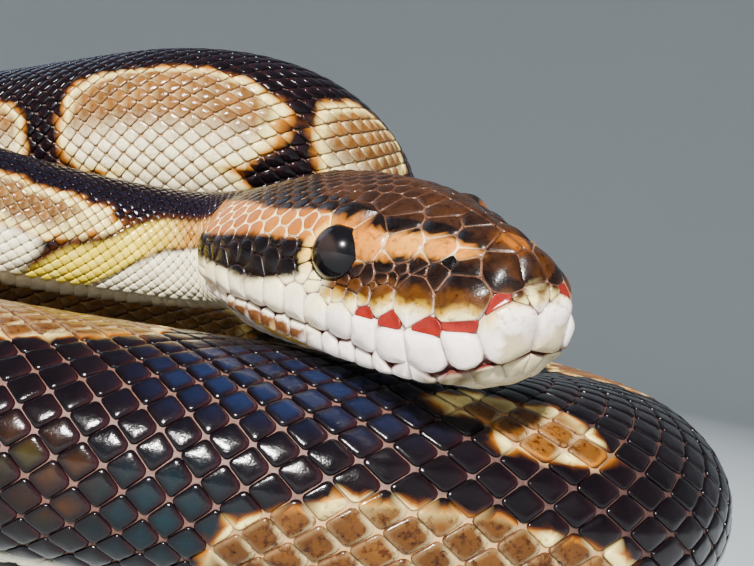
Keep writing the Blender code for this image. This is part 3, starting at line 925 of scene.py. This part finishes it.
SNOUT_PLATES = [
    (14.6, 7.4, 8.2, 2.1, 0.2), (10.8, 5.8, 7.9, 1.8, 0.2), (7.5, 4.4, 8.2, 1.5, 0.16),
    (12.4, 4.7, 9.6, 1.3, 0.18), (8.8, 3, 9.4, 1.6, 0.18), (13.8, 3.4, 10.7, 1.3, 0.18),
    (5.6, 2, 8.9, 1.6, 0.2), (10.6, 1.2, 10.7, 1.5, 0.18), (1.9, 2.5, 6.9, 1.75, 0.12),
    (3.3, 1, 8.3, 1.15, 0.12), (7.3, 0.8, 9.9, 1.1, 0.18), (13.2, 1.2, 11.5, 1.2, 0.18),
]
EYELIDS = [
    (17.3, 7.2, 10.1, 1.9, 0.3), (20, 8.8, 9.1, 0.85, 0.15), (21.1, 9.8, 7.8, 0.7, 0.15),
    (20.9, 10.4, 6.3, 0.65, 0.15), (20.2, 10.6, 4.9, 0.65, 0.15), (18.7, 10.5, 4.3, 0.55, 0.15),
    (17, 9.9, 4.2, 0.55, 0.15), (15.5, 9.2, 4.8, 0.55, 0.15),
]
MIDLINE_PLATES = [(1, 0, 6.8, 1.25, 0.14)]
FRONT_JAW = [(1, 1, -1.8, 1.1, 0.25), (2, 3.3, -2.6, 1.3, 0.3), (4.5, 5, -3.3, 1.3, 0.3)]
MOUTH_GAP = 0.3
SEAM = 0.035
LIP_SEAM = 0.02
FINE_PLATES_END = 24      # the small plates are finer and less even in front of this
SMALL_PLATE = 0.95


def head_seeds(tree):
    """Every plate's middle, normal, radius, bulge and kind, and how many of the plates are fixed."""
    seeds = []

    def snap(spot):
        place, normal, _, _ = tree.find_nearest(Vector(head_to_pile(spot)))
        return np.array(place), np.array(normal)

    def put(behind, across, up, radius, bulge, kind="plate"):
        for side in ((-1, 1) if across > 0.02 else (0,)):
            seeds.append([*snap((behind, side * across, up)), radius, bulge, kind])

    for row in LIPS:
        put(*row, "lip")
    for row in UPPER_LIPS + LOREALS + NASALS + SNOUT_PLATES + EYELIDS + MIDLINE_PLATES:
        put(*row)
    for row in PITS:
        put(*row, -0.24, "pit")
    put(*NOSTRIL, -0.45, "nostril")
    put(EYE_PLACE[0], 9.3, EYE_PLACE[2], 1.95, 0, "eye")
    for row in FRONT_JAW:
        put(*row, "lower")
    for behind in np.arange(6.9, 33, 2.05):
        across = smooth_curve(JAW_STATIONS, behind)[0, 0]
        put(behind, across, np.interp(behind, *np.array(MOUTH_LINE).T) - 1.15, 0.95, 0.35, "lower")
    placed = np.array([s[0] for s in seeds])
    sizes = np.array([s[2] for s in seeds])
    fixed = len(seeds)
    # Small scales everywhere else, in staggered rows.
    behind, row = 4.0, 0
    while behind < HEAD_LENGTH + 1.6:
        fine = behind < FINE_PLATES_END
        spacing = 1.8 if fine else 2.0
        ring = head_section(np.array([min(behind, HEAD_LENGTH)]), 720, 0.1)[0]
        ring[:, 0] = behind
        run = distances(ring)
        half = run[len(ring) // 2]
        count = int(round(half / spacing))
        for at in (np.arange(count + 1) + 0.5 * (row % 2)) * half / count:
            spot = points_at([at], run, ring)[0]
            if at > half or (spot[2] > 1.0 and behind < 9.5):
                continue
            jitter = rng.normal(size=2) * (0.2 if fine else 0.1)
            for side in ((1, -1) if -spot[1] > 0.3 else (1,)):
                place, normal = snap(spot * (1, side, 1) + (jitter[0], 0, jitter[1]))
                if (np.linalg.norm(placed - place, axis=1) >= sizes + 0.78).all():
                    seeds.append([place, normal, SMALL_PLATE, 0.12, "small"])
        behind += spacing * 0.88
        row += 1
    return seeds, fixed


def clip(polygon, direction, reach):
    """The part of a flat polygon that lies within reach of the origin along a unit direction."""
    kept = []
    depth = [p @ direction - reach for p in polygon]
    for k in range(len(polygon)):
        a, b = polygon[k - 1], polygon[k]
        da, db = depth[k - 1], depth[k]
        if (da <= 0) != (db <= 0):
            kept.append(a + (b - a) * da / (da - db))
        if db <= 0:
            kept.append(b)
    return kept


def rounded(polygon, radius):
    """Each corner cut to three points."""
    points = []
    for k in range(len(polygon)):
        before, corner, after = polygon[k - 1], polygon[k], polygon[(k + 1) % len(polygon)]
        a, b = before - corner, after - corner
        la, lb = np.linalg.norm(a), np.linalg.norm(b)
        cut = min(radius, 0.45 * la, 0.45 * lb)
        start, end = corner + a / (la + 1e-9) * cut, corner + b / (lb + 1e-9) * cut
        points += [start, 0.25 * start + 0.5 * corner + 0.25 * end, end]
    return points


def seam_width(kind, other):
    kinds = {kind, other}
    if "lower" in kinds and kinds & {"lip", "plate", "pit"}:
        return MOUTH_GAP
    if kinds == {"lip"}:
        return LIP_SEAM
    return SEAM


NEIGHBOURS = 26           # at most this many cut a plate
NEIGHBOUR_REACH = 7.5
# An octagon that holds a plate before its neighbours cut it, for a half width of 1.
OCTAGON = [(-0.6, -1), (0.6, -1), (1, -0.6), (1, 0.6), (0.6, 1), (-0.6, 1), (-1, 0.6), (-1, -0.6)]


def cell_of(k, places, normals, radii, kinds):
    """A plate's outline in the plane that touches the head at its middle, and the plane's two directions."""
    place, normal = places[k], normals[k]
    across = np.cross(normal, (0.31, 0.2, 0.93))
    across /= np.linalg.norm(across)
    along = np.cross(normal, across)
    polygon = [np.array(corner) * (radii[k] * 1.9 + 0.5) for corner in OCTAGON]
    apart = places - place
    distance = np.linalg.norm(apart, axis=1)
    near = np.where((distance > 1e-6) & (distance < NEIGHBOUR_REACH) & (normals @ normal > -0.2))[0]
    for n in near[np.argsort(distance[near])][:NEIGHBOURS]:
        flat = np.array([apart[n] @ across, apart[n] @ along])
        size = np.linalg.norm(flat)
        if size < 1e-6:
            continue
        d = distance[n]
        reach = d / 2 + (radii[k] ** 2 - radii[n] ** 2) / (2 * d) - seam_width(kinds[k], kinds[n]) / 2
        polygon = clip(polygon, flat / size, reach)
        if len(polygon) < 3:
            return None, across, along
    return np.array(polygon), across, along


# From a plate's edge inwards in mm, and how far the plate stands off the head there.
EDGE_STEPS = [(0, -0.34), (0, -0.1), (0.03, -0.03), (0.1, 0)]
LIP_STEPS = [(0, -0.34), (0, -0.14), (0.06, -0.03), (0.2, 0.08)]


def settled(seeds, fixed, tree):
    """The plates' places and normals once the small scales have moved into the middle of their cells."""
    places, normals, radii = (np.array(column) for column in list(zip(*seeds))[:3])
    kinds = [seed[4] for seed in seeds]
    for _ in range(3):
        moved = places.copy()
        for k in range(fixed, len(seeds)):
            polygon, across, along = cell_of(k, places, normals, radii, kinds)
            if polygon is not None:
                middle = np.mean(polygon, axis=0)
                hit = tree.find_nearest(Vector(places[k] + across * middle[0] + along * middle[1]))
                moved[k], normals[k] = np.array(hit[0]), np.array(hit[1])
        places = moved
    return places, normals, radii, kinds


def head_plates(tree):
    """Every plate of the head as one mesh, laid on the head's surface."""
    seeds, fixed = head_seeds(tree)
    places, normals, radii, kinds = settled(seeds, fixed, tree)
    points, triangles, rims, chances, hollows, uv = [], [], [], [], [], []
    for k, (_, _, _, bulge, kind) in enumerate(seeds):
        if kind == "eye":
            continue
        polygon, across, along = cell_of(k, places, normals, radii, kinds)
        if polygon is None:
            continue
        outline = np.array(rounded(polygon, 0.8 if kind == "lip" else 0.4))
        middle = outline.mean(axis=0)
        size = np.sqrt(np.mean(np.sum((outline - middle) ** 2, axis=1)))
        puffy = kind in ("lip", "lower")
        steps = LIP_STEPS if puffy else EDGE_STEPS
        rings = [(max(1 - inset / size, 0.6), lift, inset) for inset, lift in steps]
        inner = [0.72, 0.48, 0.22] if size > 1.2 else [0.55]
        rings += [(share, 0.08 if puffy else 0.0, 1.0) for share in inner + [0.0]]
        chance = rng.random()
        start = len(points)
        for share, lift, inset in rings:
            dome = bulge * (0.55 * (1 - share**2.5) if puffy else 0.8 * size * (1 - share**2))
            rim = 0.7 * step(0.12, 0.03, inset) if kind == "lip" else step(0.08, 0.015, inset)
            for p in (middle + (outline - middle) * share if share else middle[None]):
                spot = places[k] + across * p[0] + along * p[1]
                found = tree.ray_cast(Vector(spot + normals[k] * 4), Vector(-normals[k]), 9.0)[0]
                base = spot if found is None else np.array(found)
                points.append(base + normals[k] * (dome + lift))
                rims.append(rim)
        triangles.append(dome_triangles(start, len(rings) - 1, len(outline)))
        chances += [chance] * (len(points) - start)
        hollows += [{"pit": 1, "nostril": 2}.get(kind, 0)] * (len(points) - start)
        root = pile_to_head(places[k])
        spread = np.arctan2(root[1], root[2] - 3.0) / (2 * math.pi) + 0.5
        offsets = (np.array(points[start:]) - places[k]) @ np.column_stack([across, along])
        uv.append(np.array([root[0] / 50, spread]) * 0.96 + 0.02 + 0.0006 * offsets)
    points, rims, chances, hollows = (np.array(values) for values in (points, rims, chances, hollows))
    local = pile_to_head(points)
    colours = paint(
        head_colours(local, chances),
        (suture_colours(local), rims),
        (mix(PIT_RED, MOUTH_DARK, rims * 0.6), hollows == 1),
        # Painted shade: the nostril's dished plate is black, standing in for the dark inside of its opening.
        (NOSTRIL_SHADE_BLACK, hollows == 2))
    spots = 0.12 + 0.6 * step(1.6, 3.2, local[:, 2]) * step(19, 16, local[:, 0]) * (hollows == 0)
    return mesh_object("head_plates", points, np.concatenate(triangles), colours, spots, np.concatenate(uv))


def head_surface_tree():
    """The head's surface and the start of the neck, to lay the plates on."""
    behind = [[0, 0.05, 0.1, 0.15, 0.25, 0.4], np.arange(0.6, 6, 0.25), np.arange(6, HEAD_LENGTH + 0.1, 0.5)]
    rings = head_to_pile(head_section(np.concatenate(behind), 192, 0.1))
    neck = body_point(np.array([0.5, 1.5, 2.5, 4.0, 6.0])[:, None], 1 - 2 * np.arange(192) / 192)
    points = np.concatenate([rings, neck])
    return BVHTree.FromPolygons(
        [Vector(p) for p in points.reshape(-1, 3)], tube_faces(len(points), 192).tolist())


# ---------------- materials
class Nodes:
    """A short way of writing a material's nodes."""

    def __init__(self, name):
        self.material = bpy.data.materials.new(name)
        self.material.use_nodes = True
        self.tree = self.material.node_tree
        self.shader = self.tree.nodes["Principled BSDF"]

    def add(self, kind, inputs=None, **settings):
        node = self.tree.nodes.new(kind)
        for key, value in settings.items():
            setattr(node, key, value)
        for key, value in (inputs or {}).items():
            self.feed(node.inputs[key], value)
        return node

    def feed(self, socket, value):
        if isinstance(value, bpy.types.NodeSocket):
            self.tree.links.new(value, socket)
        else:
            socket.default_value = value

    def set(self, **inputs):
        for key, value in inputs.items():
            self.feed(self.shader.inputs[key.replace("_", " ")], value)

    def attribute(self, name, output="Fac"):
        return self.add("ShaderNodeAttribute", attribute_name=name).outputs[output]

    def maths(self, operation, first, second):
        node = self.add("ShaderNodeMath", operation=operation)
        self.feed(node.inputs[0], first)
        self.feed(node.inputs[1], second)
        return node.outputs[0]

    def noise(self, scale, detail=3.0, roughness=0.55):
        place = self.add("ShaderNodeTexCoord").outputs["Object"]
        inputs = {"Vector": place, "Scale": scale, "Detail": detail, "Roughness": roughness}
        return self.add("ShaderNodeTexNoise", inputs).outputs["Fac"]

    def ramp(self, value, stops):
        node = self.add("ShaderNodeValToRGB", {"Fac": value})
        ramp = node.color_ramp
        while len(ramp.elements) < len(stops):
            ramp.elements.new(0.5)
        for element, (place, grey) in zip(ramp.elements, stops):
            element.position = place
            element.color = (grey, grey, grey, 1)
        return node.outputs["Color"]

    def multiply(self, factor, first, second):
        """The first colour times the second one, as far as the factor says."""
        node = self.add("ShaderNodeMix", data_type="RGBA", blend_type="MULTIPLY", clamp_factor=True)
        self.feed(node.inputs[0], factor)
        self.feed(node.inputs[6], first)
        self.feed(node.inputs[7], second)
        return node.outputs[2]

    def bump(self, height, strength, distance):
        inputs = {"Height": height, "Strength": strength, "Distance": distance}
        return self.add("ShaderNodeBump", inputs).outputs["Normal"]


# How fine each noise of the scales is, in waves a metre.
CLOUD_SCALE = 420.0
MOTTLE_SCALE = 1300.0
SPECK_SCALE = 2600.0
GRAIN_SCALE = 5200.0
SPECK_LEVEL = 0.655       # specks lie where their noise is above this
MOTTLE_COLOUR = (*srgb(132, 84, 50), 1)
SPECK_COLOUR = (*srgb(70, 38, 20), 1)


def scale_material(name, roughness, coat_weight, bump, shine):
    """Glossy scales: the marking in the mesh, with mottling, specks and uneven gloss."""
    n = Nodes(name)
    speck = n.noise(SPECK_SCALE, 4.0, 0.7)
    cloud = n.noise(CLOUD_SCALE)
    specks = n.maths("GREATER_THAN", speck, SPECK_LEVEL)
    mottle = n.ramp(n.noise(MOTTLE_SCALE, 5.0, 0.7), [(0.5, 0.0), (0.62, 0.8)])
    shade = n.ramp(cloud, [(0.3, 0.82), (0.7, 1.12)])
    colour = n.multiply(1.0, n.attribute("tone", "Color"), shade)
    spots = n.attribute("spots")
    colour = n.multiply(n.maths("MULTIPLY", mottle, spots), colour, MOTTLE_COLOUR)
    strength = n.maths("MULTIPLY", specks, n.maths("MULTIPLY", spots, 0.9))
    colour = n.multiply(strength, colour, SPECK_COLOUR)
    grain = n.noise(GRAIN_SCALE, 2.0)
    uneven = n.maths("ADD", n.maths("MULTIPLY", grain, 0.5), n.maths("MULTIPLY", cloud, 0.5))
    rough = n.ramp(uneven, [(0.3, roughness - 0.06), (0.7, roughness + 0.09)])
    height = n.maths("ADD", n.maths("MULTIPLY", grain, 0.3), n.maths("MULTIPLY", cloud, 0.7))
    n.set(Base_Color=colour, Roughness=rough, Coat_Weight=coat_weight, Coat_Roughness=0.12, IOR=1.5)
    n.set(Specular_IOR_Level=shine, Normal=n.bump(height, bump, 0.0004))
    return n.material


def skin_material():
    n = Nodes("skin between the scales")
    fine = n.noise(1800.0, 4.0, 0.65)
    shade = n.ramp(fine, [(0.3, 0.8), (0.7, 1.1)])
    colour = n.multiply(1.0, n.attribute("tone", "Color"), shade)
    n.set(Base_Color=colour, Roughness=n.ramp(fine, [(0.3, 0.42), (0.7, 0.62)]), IOR=1.42)
    n.set(Normal=n.bump(fine, 0.5, 0.0003))
    return n.material


def wear(obj, material, nodes=()):
    obj.data.materials.append(material)
    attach(obj, "root")
    if nodes:
        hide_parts(*nodes)
    return obj


# ---------------- eyes
EYE_BLACK = srgb(10, 9, 12)
IRIS_BROWN = srgb(40, 32, 30)
SLIT_BLACK = srgb(5, 5, 8)


def eye_material():
    n = Nodes("eye")
    n.set(Base_Color=n.attribute("tone", "Color"), Roughness=0.2, Specular_IOR_Level=0.2, IOR=1.4)
    n.set(Coat_Weight=0.25, Coat_Roughness=0.03)
    return n.material


def eye(side):
    """One eye: a dark ball with a brown iris and an upright slit, under a clear scale."""
    rows, count = 40, 64
    polar = (np.arange(1, rows) * math.pi / rows)[:, None]
    around = np.arange(count) * 2 * math.pi / count
    wide = np.sin(polar)
    ball = np.stack([wide * np.cos(around), wide * np.sin(around), np.cos(polar) + 0 * around], axis=-1)
    x, y, z = np.concatenate([ball.reshape(-1, 3), [[0, 0, 1], [0, 0, -1]]]).T
    # The pole looks out to the side.
    body = np.column_stack([-x, side * z, y]) * EYE_RADIUS
    points = head_to_pile(body + (EYE_PLACE[0], side * EYE_PLACE[1], EYE_PLACE[2]))
    slit = step(0.20, 0.12, np.abs(x + 0.1)) * step(0.62, 0.5, np.abs(y))
    iris = step(0.86, 0.72, np.hypot(x, y)) * step(-0.2, 0.6, y)
    colour = paint(EYE_BLACK, (IRIS_BROWN, iris), (SLIT_BLACK, slit))
    name = "eye_left" if side > 0 else "eye_right"
    obj = mesh_object(f"{name}_ball", points, closed_tube(rows - 1, count)[:, ::side], colour)
    return obj, name


# ---------------- the skin
AROUND = 96


def body_skin_rings():
    at = np.concatenate([np.arange(0.6, BODY_LENGTH - 2, 2.5), [BODY_LENGTH - 1.0]])[:, None]
    share = 1 - 2 * np.arange(AROUND) / AROUND
    points = body_point(at, share, -SKIN_DEPTH, SKIN_DEPTH * 0.6)
    return points, skin_colours(at + 0 * share, share + 0 * at)


def head_skin_rings():
    behind = np.concatenate([[0, 0.06, 0.15, 0.35], np.arange(0.6, 8, 0.4), np.arange(8.2, HEAD_LENGTH, 0.8)])
    rings = head_section(behind, AROUND)
    rings = rings - unit(rings - rings.mean(axis=1, keepdims=True)) * HEAD_SKIN_DEPTH * 0.9
    rings[..., 0] += HEAD_SKIN_DEPTH * step(4.0, 0.0, behind)[:, None]
    return head_to_pile(rings), suture_colours(rings)


def skin():
    """One skin from the snout to the tail's tip."""
    head_rings, head_tones = head_skin_rings()
    rings, colours = body_skin_rings()
    rings, colours = np.concatenate([head_rings, rings]), np.concatenate([head_tones, colours])
    points = np.concatenate([rings.reshape(-1, 3), [rings[0].mean(axis=0), rings[-1].mean(axis=0)]])
    tones = np.concatenate([colours.reshape(-1, 3), [colours[0, 0], colours[-1, 0]]])
    nodes = [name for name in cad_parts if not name.startswith("eye")]
    return wear(mesh_object("skin", points, closed_tube(len(rings), AROUND), tones), skin_material(), nodes)


# ---------------- stage, lights and camera
FLOOR_GREY = (*srgb(170, 178, 183), 1)


def stage_material():
    n = Nodes("studio floor")
    n.set(Base_Color=FLOOR_GREY, Roughness=0.75)
    return n.material


STAGE_FLAT = 1.0          # the floor is flat this far out, in metres
STAGE_BEND = 1.2          # then it bends up into the wall over this one
STAGE_TOP = 3.4


def stage():
    """A pale floor that turns up into a wall all round, with no edge to see."""
    turns = np.arange(1, 13) * math.pi / 2 / 12
    bend = [(STAGE_FLAT + STAGE_BEND * math.sin(t), STAGE_BEND * (1 - math.cos(t))) for t in turns]
    wall = [(STAGE_FLAT + STAGE_BEND, STAGE_FLAT + STAGE_BEND), (STAGE_FLAT + STAGE_BEND, STAGE_TOP)]
    profile = [(STAGE_FLAT / 2, 0), (STAGE_FLAT, 0)] + bend + wall
    count = 72
    angles = np.arange(count) * 2 * math.pi / count
    points = [(r * math.cos(a), r * math.sin(a), z) for r, z in profile for a in angles]
    fan = [((k + 1) % count, k, len(points)) for k in range(count)]
    mesh = bpy.data.meshes.new("studio")
    mesh.from_pydata(points + [(0, 0, 0)], [], tube_faces(len(profile), count).tolist() + fan)
    mesh.polygons.foreach_set("use_smooth", np.ones(len(mesh.polygons), bool))
    mesh.materials.append(stage_material())
    add_object("studio", mesh)


def area_light(name, place, target, size, power, colour):
    data = bpy.data.lights.new(name, "AREA")
    data.shape = "DISK"
    data.size = size
    data.energy = power
    data.color = colour
    obj = add_object(name, data)
    obj.location = Vector(place)
    obj.rotation_euler = (Vector(target) - Vector(place)).to_track_quat("-Z", "Y").to_euler()


# Name, place, target and width in metres, power in watts, and colour.
LIGHTS = [
    ("key", (-0.06, -0.86, 0.54), (0.0, -0.05, 0.03), 0.09, 40, (1.0, 0.97, 0.93)),
    ("wall behind the camera", (-0.06, -0.86, 0.62), (-0.1, -2.2, 0.9), 0.3, 9, (1.0, 0.98, 0.96)),
    ("window", (-1.0, 0.65, 0.85), (-0.02, -0.02, 0.03), 0.9, 2.5, (0.6, 0.75, 1.0)),
    ("fill", (0.8, -0.9, 0.5), (0.0, 0.0, 0.03), 0.9, 1.2, (1.0, 1.0, 1.0)),
]
ROOM_COLOUR = (0.62, 0.68, 0.75, 1)
ROOM_STRENGTH = 0.25


def lights():
    for light in LIGHTS:
        area_light(*light)
    world = bpy.data.worlds.new("room")
    bpy.context.scene.world = world
    world.use_nodes = True
    inputs = world.node_tree.nodes["Background"].inputs
    inputs["Color"].default_value = ROOM_COLOUR
    inputs["Strength"].default_value = ROOM_STRENGTH


CAMERA_HEIGHT = 28.0
CAMERA_LENS = 40.44
CAMERA_UP_TILT = math.radians(3.0)
CAMERA_ROLL = math.radians(11.0)


def camera():
    """Close to the floor before the front coil, looking a little up, with the level falling to the right."""
    data = bpy.data.cameras.new("camera")
    data.sensor_width = 36
    data.lens = CAMERA_LENS
    data.clip_start = 0.005
    data.clip_end = 20
    obj = add_object("camera", data)
    tilt, roll = -CAMERA_UP_TILT, CAMERA_ROLL
    right = Vector((math.cos(roll), math.sin(tilt) * math.sin(roll), math.cos(tilt) * math.sin(roll)))
    ahead = Vector((0, math.cos(tilt), -math.sin(tilt)))
    up = right.cross(ahead)
    turn = Matrix((right, up, -ahead)).transposed()
    place = Vector((-PILE_MIDDLE[0], -PILE_MIDDLE[1], CAMERA_HEIGHT)) * MM
    obj.matrix_world = Matrix.Translation(place) @ turn.to_4x4()
    bpy.context.scene.camera = obj


# ---------------- everything together
skin()
scales = scale_material("body scales", 0.15, 0.08, 0.14, 0.2)
for piece in COAT_PIECES:
    wear(coat(*piece), scales)
wear(belly_plates(), scales)
wear(head_plates(head_surface_tree()), scale_material("head plates", 0.27, 0.1, 0.2, 0.22))
for side in (-1, 1):
    ball, node = eye(side)
    wear(ball, eye_material(), [node])
stage()
lights()
camera()
